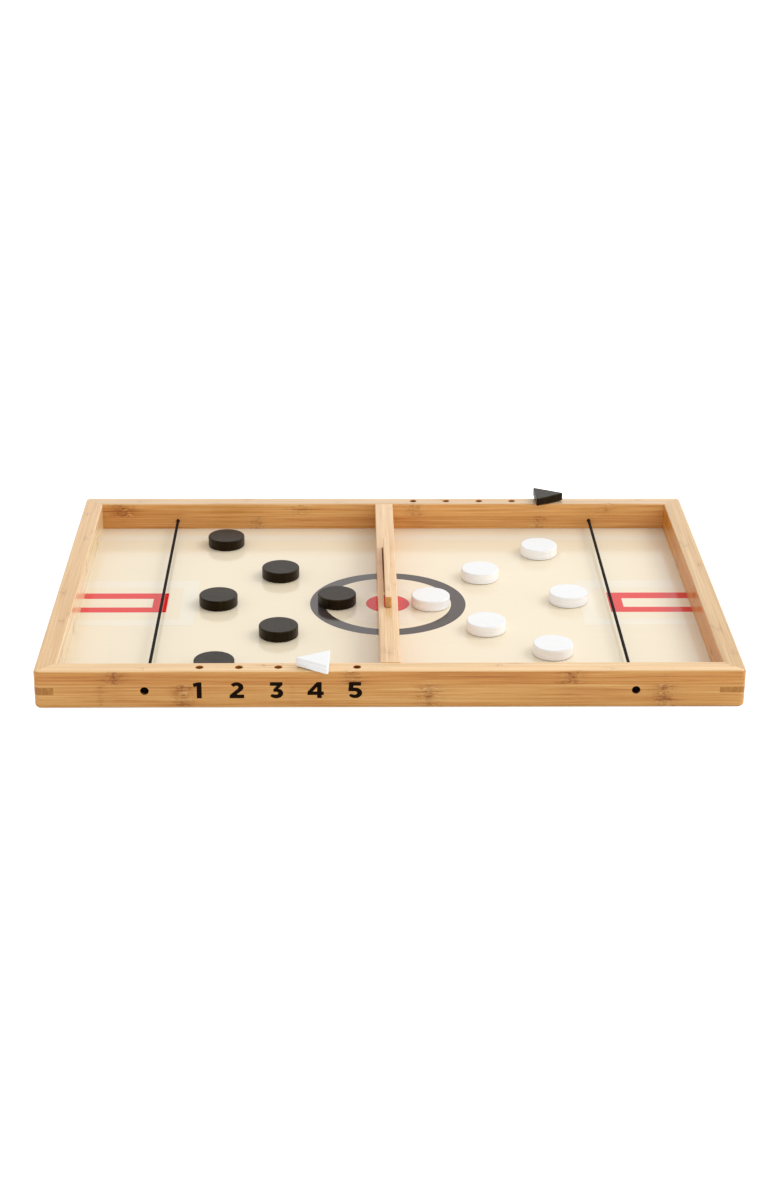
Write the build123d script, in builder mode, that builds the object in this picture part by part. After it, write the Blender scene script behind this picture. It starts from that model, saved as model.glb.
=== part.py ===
from build123d import *
import os

# Tabletop sling-puck board: a mitred bamboo frame around a printed playing board,
# a centre divider with a drop-in gate plate, two elastic cords, twelve pucks and
# two score markers. Millimetres, +Z up, +X along the long side, front at -Y.
# Origin: centre of the frame's footprint, on the plane it stands on.

os.makedirs("parts", exist_ok=True)

# -------------------------------------------------------- shared dimensions
frame_length = 550.0
frame_width = 377.0
frame_height = 31.6
rail_thickness = 16.3
outer_corner_radius = 5.0

board_thickness = 5.0
board_top = 7.5
groove_depth = 4.0

dowel_radius = 3.0
dowel_reach = 10.0  # socket depth, in the rail and in the divider
dowel_heights = (13.8, 25.4)

cord_x = 189.8  # cords lie at plus and minus this x
cord_height = 15.2
knot_pocket_depth = 7.0

peg_count = 5
peg_pitch = 30.4
front_peg_centre = 86.8  # middle score hole's distance from the divider's centreline
back_peg_centre = 87.9
peg_hole_depth = 13.0

half_length = frame_length / 2
half_width = frame_width / 2
inner_length = frame_length - 2 * rail_thickness
inner_width = frame_width - 2 * rail_thickness
board_bottom = board_top - board_thickness
rail_middle = half_width - rail_thickness / 2

# Frame corners: x sign, y sign
corners = {
    "front_left": (-1, -1),
    "front_right": (1, -1),
    "back_left": (-1, 1),
    "back_right": (1, 1),
}

# Corner keys: leg along both faces, underside, top
keys = {
    "front_left": (15.2, 11.8, 18.0),
    "front_right": (20.3, 13.0, 17.8),
    "back_left": (17.4, 12.2, 17.8),
    "back_right": (16.6, 12.0, 17.9),
}


# ------------------------------------------------------------------ helpers
def save(part, name):
    """Label a finished piece and write its STEP file."""
    part.label = name
    export_step(part, f"parts/{name}.step")


def plane_facing_y(x, y, z, facing):
    """Upright plane at a point, its normal along +Y (facing 1) or -Y (facing -1)."""
    return Plane(origin=(x, y, z), x_dir=(1, 0, 0), z_dir=(0, facing, 0))


def dowel_planes(side, facing):
    """Planes at the dowel centres, where the divider meets the front or back rail."""
    return [plane_facing_y(0, side * inner_width / 2, z, facing) for z in dowel_heights]


def peg_row(side, centre):
    """X of one rail's score holes, from the divider outwards; side is the sign of x."""
    return [side * (centre + peg_pitch * (i - peg_count // 2)) for i in range(peg_count)]


def key_triangle(corner, reach=0.0):
    """Triangle across a frame corner; reach carries it past the corner's faces
    without moving the line of its long side."""
    side_x, side_y = corners[corner]
    leg = keys[corner][0] + 2 * reach
    x = side_x * (half_length + reach)
    y = side_y * (half_width + reach)
    return [(x, y), (x - side_x * leg, y), (x, y - side_y * leg)]


front_peg_xs = peg_row(-1, front_peg_centre)
back_peg_xs = peg_row(1, back_peg_centre)

# -------------------------------------------------------------- frame blank
# The whole ring, shaped once, so that the four rails meet exactly at the mitres.
top_outer_round = 2.0
top_inner_round = 1.2
foot_round = 3.0
key_slot_reach = 4.0  # saw slots run this far past the outer faces

with BuildPart() as frame_blank:
    with BuildSketch(Plane.XY):
        RectangleRounded(frame_length, frame_width, outer_corner_radius)
        Rectangle(inner_length, inner_width, mode=Mode.SUBTRACT)
    extrude(amount=frame_height)
    top_face = frame_blank.faces().sort_by(Axis.Z)[-1]
    fillet(top_face.outer_wire().edges(), radius=top_outer_round)
    top_face = frame_blank.faces().sort_by(Axis.Z)[-1]
    fillet(top_face.inner_wires()[0].edges(), radius=top_inner_round)
    foot_face = frame_blank.faces().sort_by(Axis.Z)[0]
    fillet(foot_face.outer_wire().edges(), radius=foot_round)
    # groove that holds the playing board
    with BuildSketch(Plane.XY.offset(board_bottom)):
        Rectangle(inner_length + 2 * groove_depth, inner_width + 2 * groove_depth)
    extrude(amount=board_thickness, mode=Mode.SUBTRACT)
    # key slots sawn across the four corners
    for corner, (_, underside, top) in keys.items():
        with BuildSketch(Plane.XY.offset(underside)):
            with BuildLine():
                Polyline(*key_triangle(corner, key_slot_reach), close=True)
            make_face()
        extrude(amount=top - underside, mode=Mode.SUBTRACT)

# -------------------------------------------------------------------- rails
# The 45 degree mitre lines run from outside the frame to inside the ring.
mitre_outside = 12.0
mitre_inside = rail_thickness + 6.0
mitre_outer_x = half_length + mitre_outside
mitre_outer_y = half_width + mitre_outside
mitre_inner_x = half_length - mitre_inside
mitre_inner_y = half_width - mitre_inside

peg_hole_radius = 3.0
peg_rim_radius = 3.3
cord_hole_radius = 1.7
knot_pocket_radius = 3.3
cord_hole_overrun = 1.0


def mitred_rail(outline):
    """The part of the frame blank inside a plan outline."""
    with BuildPart() as rail:
        add(frame_blank.part)
        with BuildSketch(Plane.XY):
            with BuildLine():
                Polyline(*outline, close=True)
            make_face()
        extrude(amount=frame_height, mode=Mode.INTERSECT)
    return rail.part


def make_long_rail(name, side, peg_xs):
    """Front (side -1) or back (side 1) rail, with its holes."""
    outline = [
        (-mitre_outer_x, side * mitre_outer_y),
        (mitre_outer_x, side * mitre_outer_y),
        (mitre_inner_x, side * mitre_inner_y),
        (-mitre_inner_x, side * mitre_inner_y),
    ]
    with BuildPart() as rail:
        add(mitred_rail(outline))
        # score holes on the top face
        with Locations(*[(x, side * rail_middle, frame_height) for x in peg_xs]):
            CounterSinkHole(
                radius=peg_hole_radius,
                counter_sink_radius=peg_rim_radius,
                depth=peg_hole_depth,
                counter_sink_angle=90,
            )
        # cord holes, each with a pocket for the knot on the outside
        cord_planes = [
            plane_facing_y(x, side * half_width, cord_height, side) for x in (-cord_x, cord_x)
        ]
        with Locations(*cord_planes):
            CounterBoreHole(
                radius=cord_hole_radius,
                counter_bore_radius=knot_pocket_radius,
                counter_bore_depth=knot_pocket_depth,
                depth=rail_thickness + cord_hole_overrun,
            )
        # sockets for the divider's dowels
        with Locations(*dowel_planes(side, facing=-side)):
            Hole(radius=dowel_radius, depth=dowel_reach)
    save(rail.part, name)


def make_end_rail(name, side):
    """Left (side -1) or right (side 1) rail."""
    outline = [
        (side * mitre_outer_x, -mitre_outer_y),
        (side * mitre_outer_x, mitre_outer_y),
        (side * mitre_inner_x, mitre_inner_y),
        (side * mitre_inner_x, -mitre_inner_y),
    ]
    save(mitred_rail(outline), name)


make_long_rail("front_rail", -1, front_peg_xs)
make_long_rail("back_rail", 1, back_peg_xs)
make_end_rail("left_rail", -1)
make_end_rail("right_rail", 1)

# -------------------------------------------------------------- corner keys
# Each fills its saw slot and is trimmed flush with the rounded corner.
for corner, (_, underside, top) in keys.items():
    with BuildPart() as corner_key:
        with BuildSketch(Plane.XY.offset(underside)):
            with BuildLine():
                Polyline(*key_triangle(corner), close=True)
            make_face()
        extrude(amount=top - underside)
        with BuildSketch(Plane.XY):
            RectangleRounded(frame_length, frame_width, outer_corner_radius)
        extrude(amount=frame_height, mode=Mode.INTERSECT)
    save(corner_key.part, f"corner_key_{corner}")

# ------------------------------------------------------------ playing board
board_edge_gap = 0.3
board_tongue = groove_depth - board_edge_gap  # reach into the groove

with BuildPart() as playing_board:
    with BuildSketch(Plane.XY.offset(board_bottom)):
        Rectangle(inner_length + 2 * board_tongue, inner_width + 2 * board_tongue)
    extrude(amount=board_thickness)
save(playing_board.part, "playing_board")

# -------------------------------------------------------------- divider bar
divider_width = rail_thickness
divider_height = frame_height - board_top
divider_edge_round = 1.0
opening_width = 96.0
opening_height = 14.5
plate_slot_length = 134.6
plate_slot_width = 6.3
plate_slot_x = -0.25
gate_corner_radius = 4.0  # top corners of the opening and of the gate

with BuildPart() as divider_bar:
    with BuildSketch(Plane.XY.offset(board_top)):
        Rectangle(divider_width, inner_width)
    extrude(amount=divider_height)
    fillet(
        divider_bar.faces().sort_by(Axis.Z)[-1].edges().filter_by(Axis.Y),
        radius=divider_edge_round,
    )
    # wide opening at board level, closed down to a gate by the drop-in plate
    with BuildSketch(Plane.YZ.offset(-divider_width)) as opening:
        with Locations((0, board_top + opening_height / 2)):
            Rectangle(opening_width, opening_height)
        fillet(opening.vertices().group_by(Axis.Y)[-1], radius=gate_corner_radius)
    extrude(amount=2 * divider_width, mode=Mode.SUBTRACT)
    # slot for the gate plate, through the bar from top to bottom
    with BuildSketch(Plane.XY.offset(board_top)):
        with Locations((plate_slot_x, 0)):
            SlotOverall(plate_slot_length, plate_slot_width, rotation=90)
    extrude(amount=divider_height, mode=Mode.SUBTRACT)
    # dowel sockets in both ends
    for end in (-1, 1):
        with Locations(*dowel_planes(end, facing=end)):
            Hole(radius=dowel_radius, depth=dowel_reach)
save(divider_bar.part, "divider_bar")

# ----------------------------------------------------------- divider dowels
# Two at each end of the divider, centred on its joint with the rail.
dowel_gap = 0.05
dowel_end_gap = 0.4
dowel_chamfer = 0.6
dowel_half_length = dowel_reach - dowel_end_gap

with BuildPart() as divider_dowels:
    for end in (-1, 1):
        dowel_start = end * inner_width / 2 - dowel_half_length
        for z in dowel_heights:
            with BuildSketch(plane_facing_y(0, dowel_start, z, 1)):
                Circle(dowel_radius - dowel_gap)
            extrude(amount=2 * dowel_half_length)
    chamfer(divider_dowels.edges().filter_by(GeomType.CIRCLE), length=dowel_chamfer)
save(divider_dowels.part, "divider_dowels")

# --------------------------------------------------------------- gate plate
plate_length = 131.6
plate_thickness = 5.2
plate_x = 0.2
plate_proud = 9.4  # height above the frame's top
plate_floor_gap = 0.1
plate_end_round = 1.8
plate_top_round = 0.7
gate_width = 46.0
gate_height = 13.3
plate_base = board_top + plate_floor_gap
plate_height = frame_height + plate_proud - plate_base

with BuildPart() as gate_plate:
    with BuildSketch(Plane.YZ.offset(plate_x - plate_thickness / 2)):
        with Locations((0, plate_base + plate_height / 2)):
            Rectangle(plate_length, plate_height)
    extrude(amount=plate_thickness)
    fillet(gate_plate.edges().filter_by(Axis.Z), radius=plate_end_round)
    fillet(gate_plate.faces().sort_by(Axis.Z)[-1].edges(), radius=plate_top_round)
    # gate in the middle of the bottom edge
    with BuildSketch(Plane.YZ.offset(-plate_thickness)) as gate:
        with Locations((0, plate_base + gate_height / 2)):
            Rectangle(gate_width, gate_height)
        fillet(gate.vertices().group_by(Axis.Y)[-1], radius=gate_corner_radius)
    extrude(amount=2 * plate_thickness, mode=Mode.SUBTRACT)
save(gate_plate.part, "gate_plate")

# ----------------------------------------------------------- elastic cords
cord_radius = 1.3
knot_length = 5.4
cord_end_inset = 0.6  # cord stops this far inside the knot's outer end
knot_seat = half_width - knot_pocket_depth
cord_end = knot_seat + knot_length - cord_end_inset

for side_name, side in (("left", -1), ("right", 1)):
    with BuildPart() as elastic_cord:
        with BuildSketch(plane_facing_y(side * cord_x, -cord_end, cord_height, 1)):
            Circle(cord_radius)
        extrude(amount=2 * cord_end)
    save(elastic_cord.part, f"{side_name}_elastic_cord")

# ----------------------------------------------------------- cord end knots
# One barrel-shaped knot in each pocket, bored for the cord that it stops.
knot_radius = 3.0
knot_bulge = 0.7  # middle radius over end radius
knot_bore_gap = 0.05
knot_bore_radius = cord_radius + knot_bore_gap
knot_end_radius = knot_radius - knot_bulge

for corner, (side_x, side_y) in corners.items():
    knot_origin = (side_x * cord_x, side_y * knot_seat, cord_height)
    outer_y = side_y * knot_length
    seat_bore = (knot_bore_radius, 0)
    seat_rim = (knot_end_radius, 0)
    belly = (knot_radius, outer_y / 2)
    outer_rim = (knot_end_radius, outer_y)
    outer_bore = (knot_bore_radius, outer_y)
    with BuildPart() as cord_knot:
        with BuildSketch(Plane(origin=knot_origin, x_dir=(1, 0, 0), z_dir=(0, 0, 1))):
            with BuildLine():
                Line(seat_bore, seat_rim)
                ThreePointArc(seat_rim, belly, outer_rim)
                Line(outer_rim, outer_bore)
                Line(outer_bore, seat_bore)
            make_face()
        revolve(axis=Axis(knot_origin, (0, 1, 0)), revolution_arc=360)
    save(cord_knot.part, f"cord_knot_{corner}")

# ------------------------------------------------------------ score markers
# A triangular block with a round pin that reaches almost to the floor of a score
# hole; the block hangs just clear of the rail.
marker_radius = 17.9  # centre to corner, before rounding
marker_thickness = 7.2
marker_corner_round = 1.2
marker_edge_round = 0.8
marker_lift = 0.6
pin_radius = 2.8
pin_side_gap = 0.05
pin_floor_gap = 0.1
pin_top_gap = 0.1
pin_chamfer = 0.5
pin_socket_depth = 4.6
block_base = frame_height + marker_lift
pin_base = frame_height - peg_hole_depth + pin_floor_gap
pin_top = block_base + pin_socket_depth - pin_top_gap


def make_marker_block(name, x, y, turn):
    with BuildPart() as block:
        with BuildSketch(Plane.XY.offset(block_base)) as plan:
            with Locations((x, y)):
                RegularPolygon(radius=marker_radius, side_count=3, rotation=turn)
            fillet(plan.vertices(), radius=marker_corner_round)
        extrude(amount=marker_thickness)
        fillet(block.faces().sort_by(Axis.Z)[-1].edges(), radius=marker_edge_round)
        fillet(block.faces().sort_by(Axis.Z)[0].edges(), radius=marker_edge_round)
        # socket for the pin
        with BuildSketch(Plane.XY.offset(block_base)):
            with Locations((x, y)):
                Circle(pin_radius + pin_side_gap)
        extrude(amount=pin_socket_depth, mode=Mode.SUBTRACT)
    save(block.part, name)


def make_marker_pin(name, x, y):
    with BuildPart() as pin:
        with BuildSketch(Plane.XY.offset(pin_base)):
            with Locations((x, y)):
                Circle(pin_radius)
        extrude(amount=pin_top - pin_base)
        chamfer(pin.edges().filter_by(GeomType.CIRCLE), length=pin_chamfer)
    save(pin.part, name)


# Score hole's x and y, turn of the triangle in degrees
markers = {
    "white": (front_peg_xs[1], -rail_middle, 177.5),
    "black": (back_peg_xs[4], rail_middle, 2.0),
}
for colour, (x, y, turn) in markers.items():
    make_marker_block(f"{colour}_marker_block", x, y, turn)
    make_marker_pin(f"{colour}_marker_pin", x, y)

# -------------------------------------------------------------------- pucks
puck_radius = 16.25
puck_thickness = 9.3
puck_edge_round = 1.1
puck_floor_gap = 0.05

# Pucks as they lie on the board: centre x, centre y
pucks = {
    "black_puck_1": (-143.1, 131.7),
    "black_puck_2": (-91.9, 57.6),
    "black_puck_3": (-143.0, -3.3),
    "black_puck_4": (-42.4, -1.1),
    "black_puck_5": (-90.2, -66.7),
    "black_puck_6": (-139.4, -134.2),
    "white_puck_1": (138.3, 109.4),
    "white_puck_2": (82.3, 54.2),
    "white_puck_3": (154.9, 2.4),
    "white_puck_4": (37.1, -4.6),
    "white_puck_5": (81.3, -57.2),
    "white_puck_6": (132.8, -103.6),
}
for puck_name, centre in pucks.items():
    with BuildPart() as puck:
        with BuildSketch(Plane.XY.offset(board_top + puck_floor_gap)):
            with Locations(centre):
                Circle(puck_radius)
        extrude(amount=puck_thickness)
        fillet(puck.edges().filter_by(GeomType.CIRCLE), radius=puck_edge_round)
    save(puck.part, puck_name)
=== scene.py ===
"""Tabletop puck game: a bamboo frame round a printed board.

The long sides run along X and the short sides along Y. A divider bar with a gate crosses
the middle along Y. Front is -Y, right is +X, up is +Z. Elastic cords run along Y beside
the end rails, and score numerals stand on the outside of the front and back rails.
Design sizes are in millimetres; the scene is in metres.
"""

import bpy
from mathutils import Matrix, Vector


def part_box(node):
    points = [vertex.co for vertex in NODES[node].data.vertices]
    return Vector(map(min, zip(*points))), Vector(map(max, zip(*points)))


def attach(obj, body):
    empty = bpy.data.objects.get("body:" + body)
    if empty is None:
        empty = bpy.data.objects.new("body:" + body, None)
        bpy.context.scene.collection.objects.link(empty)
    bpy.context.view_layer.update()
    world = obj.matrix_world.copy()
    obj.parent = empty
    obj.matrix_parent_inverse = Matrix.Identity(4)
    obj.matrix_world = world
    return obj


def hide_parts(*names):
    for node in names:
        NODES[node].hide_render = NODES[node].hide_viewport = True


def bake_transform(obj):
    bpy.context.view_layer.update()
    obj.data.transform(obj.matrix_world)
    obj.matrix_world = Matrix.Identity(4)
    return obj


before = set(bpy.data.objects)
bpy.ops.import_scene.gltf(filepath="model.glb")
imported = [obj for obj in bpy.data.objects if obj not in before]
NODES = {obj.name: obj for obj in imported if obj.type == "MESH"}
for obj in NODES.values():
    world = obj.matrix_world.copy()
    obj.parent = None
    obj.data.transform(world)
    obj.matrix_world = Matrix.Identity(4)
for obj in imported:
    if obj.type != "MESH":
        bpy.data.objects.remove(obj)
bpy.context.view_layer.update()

import math
import bpy
import bmesh
import numpy as np
from mathutils import Matrix, Vector

MM = 0.001
HOLE_PITCH = 30.4             # between score holes, and between numerals

scene = bpy.context.scene
scene.view_settings.view_transform = "Standard"
scene.view_settings.look = "None"
scene.view_settings.exposure = 0.0
scene.view_settings.gamma = 1.0


# ------------------------------------------------------------------ shader graphs
def math_operator(operation, swap=False):
    """Method for a Python operator that adds one Math node."""
    def apply(self, other):
        pair = (other, self) if swap else (self, other)
        return self.graph.math(operation, *pair)
    return apply


class Value:
    """A number output of a node; arithmetic on it adds Math nodes."""

    def __init__(self, graph, socket):
        self.graph = graph
        self.socket = socket

    def __abs__(self):
        return self.graph.math("ABSOLUTE", self)

    __add__ = math_operator("ADD")
    __radd__ = math_operator("ADD", swap=True)
    __sub__ = math_operator("SUBTRACT")
    __rsub__ = math_operator("SUBTRACT", swap=True)
    __mul__ = math_operator("MULTIPLY")
    __rmul__ = math_operator("MULTIPLY", swap=True)
    __truediv__ = math_operator("DIVIDE")


class Graph:
    """Small wrapper that keeps a node tree readable."""

    def __init__(self, tree):
        self.tree = tree
        tree.nodes.clear()

    def put(self, socket, value):
        """Link a value to a socket, or write it there as a constant."""
        if isinstance(value, Value):
            value = value.socket
        if isinstance(value, bpy.types.NodeSocket):
            self.tree.links.new(value, socket)
        elif isinstance(value, (tuple, list)):
            opaque = [1.0] if len(value) == 3 and socket.type == "RGBA" else []
            socket.default_value = list(value) + opaque
        else:
            socket.default_value = value

    def fill(self, node, **values):
        """Put values in named inputs; an underscore stands for a space."""
        for key, value in values.items():
            self.put(node.inputs[key.replace("_", " ")], value)

    def node(self, kind, *values, **settings):
        """New node with its settings made and its first inputs filled in order."""
        node = self.tree.nodes.new("ShaderNode" + kind)
        for key, value in settings.items():
            setattr(node, key, value)
        for socket, value in zip(node.inputs, values):
            self.put(socket, value)
        return node

    def math(self, operation, *values, clamp=False):
        node = self.node("Math", *values, operation=operation, use_clamp=clamp)
        return Value(self, node.outputs[0])

    def split_xyz(self, vector):
        return [Value(self, s) for s in self.node("SeparateXYZ", vector).outputs]

    def scaled(self, vector, factor):
        """Vector or colour times a number."""
        node = self.node("VectorMath", vector, operation="SCALE")
        self.fill(node, Scale=factor)
        return node.outputs[0]

    def xyz(self, x, y, z):
        return self.node("CombineXYZ", x, y, z).outputs[0]

    def noise(self, x, y, z, detail=3.0, rough=0.55):
        place = self.xyz(x, y, z)
        node = self.node("TexNoise")
        self.fill(node, Vector=place, Scale=1.0, Detail=detail, Roughness=rough)
        return Value(self, node.outputs["Fac"])

    def white(self, x, y, z):
        """One random number for each place."""
        place = self.xyz(x, y, z)
        node = self.node("TexWhiteNoise", noise_dimensions="3D")
        self.fill(node, Vector=place)
        return Value(self, node.outputs["Value"])

    def voronoi(self, x, y, z):
        """Distance to the nearest of scattered points."""
        place = self.xyz(x, y, z)
        node = self.node("TexVoronoi")
        self.fill(node, Vector=place, Scale=1.0)
        return Value(self, node.outputs["Distance"])

    def remap(self, value, start, end, first, last, smooth=False):
        """Runs from first to last as the value goes from start to end."""
        kind = "SMOOTHSTEP" if smooth else "LINEAR"
        node = self.node("MapRange", value, start, end, first, last,
                         interpolation_type=kind, clamp=True)
        return Value(self, node.outputs[0])

    def rise(self, value, start, end, smooth=False):
        """0 below start, 1 above end."""
        return self.remap(value, start, end, 0.0, 1.0, smooth)

    def fall(self, value, start, end, smooth=False):
        """1 below start, 0 above end."""
        return self.remap(value, start, end, 1.0, 0.0, smooth)

    def bell(self, square, width):
        """Gaussian of a squared distance."""
        return self.math("EXPONENT", square * (-1.0 / (2 * width ** 2)))

    def share(self, value, factor):
        """Product clamped to 0..1."""
        return self.math("MULTIPLY", value, factor, clamp=True)

    def ramp(self, value, stops):
        """Colour ramp from (position, colour) stops."""
        node = self.node("ValToRGB", value)
        elements = node.color_ramp.elements
        while len(elements) < len(stops):
            elements.new(0.5)
        for element, (position, colour) in zip(elements, stops):
            element.position = position
            element.color = (*colour, 1.0)
        return node.outputs[0]

    def mix(self, amount, first, second, blend="MIX"):
        node = self.node("Mix", data_type="RGBA", blend_type=blend, clamp_result=False)
        for index, value in ((0, amount), (6, first), (7, second)):
            self.put(node.inputs[index], value)
        return node.outputs[2]

    def multiply(self, colour, tone):
        return self.mix(1.0, colour, tone, "MULTIPLY")

    def shade(self, colour, amount, tone):
        """Colour moved by some amount towards itself times a tone."""
        return self.mix(amount, colour, self.multiply(colour, tone))

    def bump(self, height, strength, distance):
        """Bumped normal; distance in millimetres."""
        node = self.node("Bump")
        self.fill(node, Strength=strength, Distance=distance * MM, Height=height)
        return node.outputs[0]

    def camera_ray(self):
        """1 for rays straight from the camera."""
        return Value(self, self.node("LightPath").outputs["Is Camera Ray"])


class Material(Graph):
    """Principled material; x, y, z are places on the object in millimetres."""

    def __init__(self, name):
        self.material = bpy.data.materials.new(name)
        self.material.use_nodes = True
        super().__init__(self.material.node_tree)
        self.out = self.node("OutputMaterial")
        self.bsdf = self.node("BsdfPrincipled")
        self.put(self.out.inputs[0], self.bsdf.outputs[0])
        place = self.node("TexCoord").outputs["Object"]
        self.x, self.y, self.z = self.split_xyz(self.scaled(place, 1 / MM))

    def set(self, **values):
        self.fill(self.bsdf, **values)

    def normal_axes(self):
        """Absolute components of the true surface normal, in the object's own axes."""
        normal = self.node("NewGeometry").outputs["True Normal"]
        turned = self.node("VectorTransform", normal, vector_type="NORMAL",
                           convert_from="WORLD", convert_to="OBJECT")
        return self.split_xyz(
            self.node("VectorMath", turned.outputs[0], operation="ABSOLUTE").outputs[0])


# ------------------------------------------------------------------------- bamboo
NEUTRAL = (1.0, 1.0, 1.0)
SIDE_STOPS = [                # fibre tone -> colour on upright faces
    (0.04, (0.430, 0.150, 0.026)), (0.28, (0.625, 0.275, 0.068)),
    (0.50, (0.735, 0.375, 0.112)), (0.72, (0.815, 0.465, 0.165)),
    (0.96, (0.890, 0.580, 0.260))]
TOP_STOPS = [                 # fibre tone -> colour on top faces
    (0.06, (0.600, 0.355, 0.150)), (0.30, (0.705, 0.455, 0.215)),
    (0.50, (0.765, 0.520, 0.265)), (0.70, (0.815, 0.585, 0.325)),
    (0.94, (0.870, 0.665, 0.410))]
END_STOPS = [                 # distance from a bundle -> colour of end grain
    (0.10, (0.27, 0.11, 0.03)), (0.38, (0.55, 0.28, 0.09)), (0.75, (0.70, 0.40, 0.14))]
# tones that multiply the wood colour
UPPER_TONE = (0.90, 0.80, 0.66)
STAIN_TONE = (0.70, 0.61, 0.47)
MOTTLE_TONE = (0.58, 0.46, 0.30)
PALE_TONE = (1.16, 1.26, 1.40)
RING_LINE_TONE = (0.50, 0.36, 0.22)
VESSEL_TONE = (0.66, 0.48, 0.32)
GLUE_TONE = (0.62, 0.45, 0.30)
# painted shade inside the cord bores
BORE_SHADE_TONE = (0.10, 0.06, 0.04)
# painted shade on the walls of the score holes
HOLE_SHADE_TONE = (0.70, 0.52, 0.36)
RING_SPACING = 181.0          # between the faint rings along one strip of a top face


class Bamboo(Material):
    """Laminated bamboo. Strips run along one axis; each has its own tone and streaks.

    split      height of the glue line between the upper and the lower strip
    strip      width of a strip on the top face
    nodes      patches: (place along, on the upper strip?, half length, strength)
    inner      painted light on the inside face, painted shade where the tone is below 1: (sign of across, where it starts, tone)
    dull       how much of the clear coat the inside face loses
    lower      tone of the lower strip; upper: how much redder the upper strip is
    rubs       bands of the top face with painted shade and painted light beside the divider's slot: (across from, across to, half length, tone)
    bores      (along, height, radius, outer face, inner face)
    holes      upright score holes: (along, across, radius, top)
    """

    def __init__(self, name, seed, nodes, along="x", split=20.0, strip=5.4,
                 top_tone=NEUTRAL, wide_tone=NEUTRAL, inner=None, dull=0.0, lower=None,
                 upper=1.0, lit_and_shaded_bands=(), end_shade=0.0, bores=(), holes=()):
        super().__init__(name)
        self.split = split
        self.strip = strip
        self.set_strips(along, seed)
        self.set_patches(nodes)
        self.set_fibres()
        colour = self.fibre_colour(top_tone, wide_tone)
        coat = 1.0
        # inside face tone: painted light where the tone lightens, painted shade where it
        # darkens
        if inner is not None:
            sign, start, tone = inner
            face = self.rise(self.across * sign, start, start + 0.8)
            face = face * (1.0 - self.is_top)
            colour = self.shade(colour, face, tone)
            if dull:
                coat = 1.0 - face * dull
        if lower is not None:
            low = (1.0 - self.is_upper) * (1.0 - self.is_top)
            colour = self.shade(colour, low, lower)
        # painted shadow and painted light in bands of the top face beside the slot
        colour = self.paint_band_light(colour, lit_and_shaded_bands)
        redder = self.is_upper * (1.0 - self.is_top) * upper
        colour = self.shade(colour, redder, UPPER_TONE)
        colour = self.mark_patches(colour)
        colour = self.mark_vessels(colour)
        colour = self.mark_glue(colour)
        colour = self.mark_end_grain(colour, end_shade)
        colour = self.darken_bores(colour, bores)
        colour = self.darken_holes(colour, holes)
        self.finish(colour, coat)

    def strips_across(self):
        """Place across the strips, counted in strips; 400 mm keeps it above zero."""
        return (self.across + (400.0 + 0.37 * self.strip)) / self.strip

    def set_strips(self, along, seed):
        """Axes, face masks and the random numbers of each strip."""
        normal_x, normal_y, normal_z = self.normal_axes()
        if along == "x":
            self.run, self.across, end_normal = self.x, self.y, normal_x
        else:
            self.run, self.across, end_normal = self.y, self.x, normal_y
        self.is_top = self.rise(normal_z, 0.45, 0.85, smooth=True)
        self.is_end = self.rise(end_normal, 0.80, 0.97)
        self.is_upper = self.rise(self.z, self.split - 0.10, self.split + 0.10)
        number = self.math("FLOOR", self.strips_across())
        self.strip_tone = self.white(number, self.is_upper, seed)
        self.strip_phase = self.white(number, self.is_upper, seed + 7.3)
        self.shift = self.strip_tone * 900.0 + self.is_upper * 371.0

    def set_patches(self, nodes):
        """Node patches with ragged outlines, and the thin line at the core of each."""
        run, is_top = self.run, self.is_top
        ragged = self.noise(run / 30.0, self.z / 3.2, self.across / 3.2, detail=3.0)
        ragged = (ragged - 0.5) * 11.0
        ragged_run = run + ragged
        patch, core = 0.0, 0.0
        for place, on_upper, half_length, strength in nodes:
            offset = ragged_run - place
            square = offset * offset
            side = self.is_upper if on_upper else 1.0 - self.is_upper
            soft_side = side * 0.86 + 0.14      # a little shows on the other strip
            patch = patch + self.bell(square, half_length) * soft_side * strength
            core = core + self.bell(square, 0.75) * side * strength
        # on the top face every strip has its own faint rings
        turns = (run + ragged + self.strip_phase * 430.0) / RING_SPACING
        offset = (self.math("FRACT", turns) - 0.5) * RING_SPACING
        ring = self.bell(offset * offset, 4.5)
        tick = self.bell(offset * offset, 0.6)
        self.patch = patch * (1.0 - is_top) + ring * (is_top * 0.55)
        self.core = core * (1.0 - is_top) + tick * (is_top * 0.7)

    def set_fibres(self):
        """Fibre coordinates that swirl round each patch, and the streaks along them."""
        run, across, z = self.run, self.across, self.z
        swirl = self.noise(run / 8.5, z / 5.5, across / 5.5, detail=2.0, rough=0.55)
        swirl = (swirl - 0.5) * 4.6 * self.math("MINIMUM", self.patch, 1.0)
        drift = self.noise((run + self.shift) / 210.0, z / 20.0, across / 20.0, detail=1.0)
        drift = (drift - 0.5) * 3.4
        self.swirl = swirl
        self.fibre_z = z + swirl + drift
        self.fibre_across = across + swirl + drift
        self.fibre_run = run + self.shift
        self.hair = self.streaks(length=24.0, width=0.30, detail=2.0, rough=0.6)
        self.fine = self.streaks(length=70.0, width=0.85, detail=3.0, rough=0.62)

    def streaks(self, length, width, detail, rough):
        """Noise drawn out along the fibres."""
        return self.noise(self.fibre_run / length, self.fibre_z / width,
                          self.fibre_across / width, detail, rough)

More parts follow.
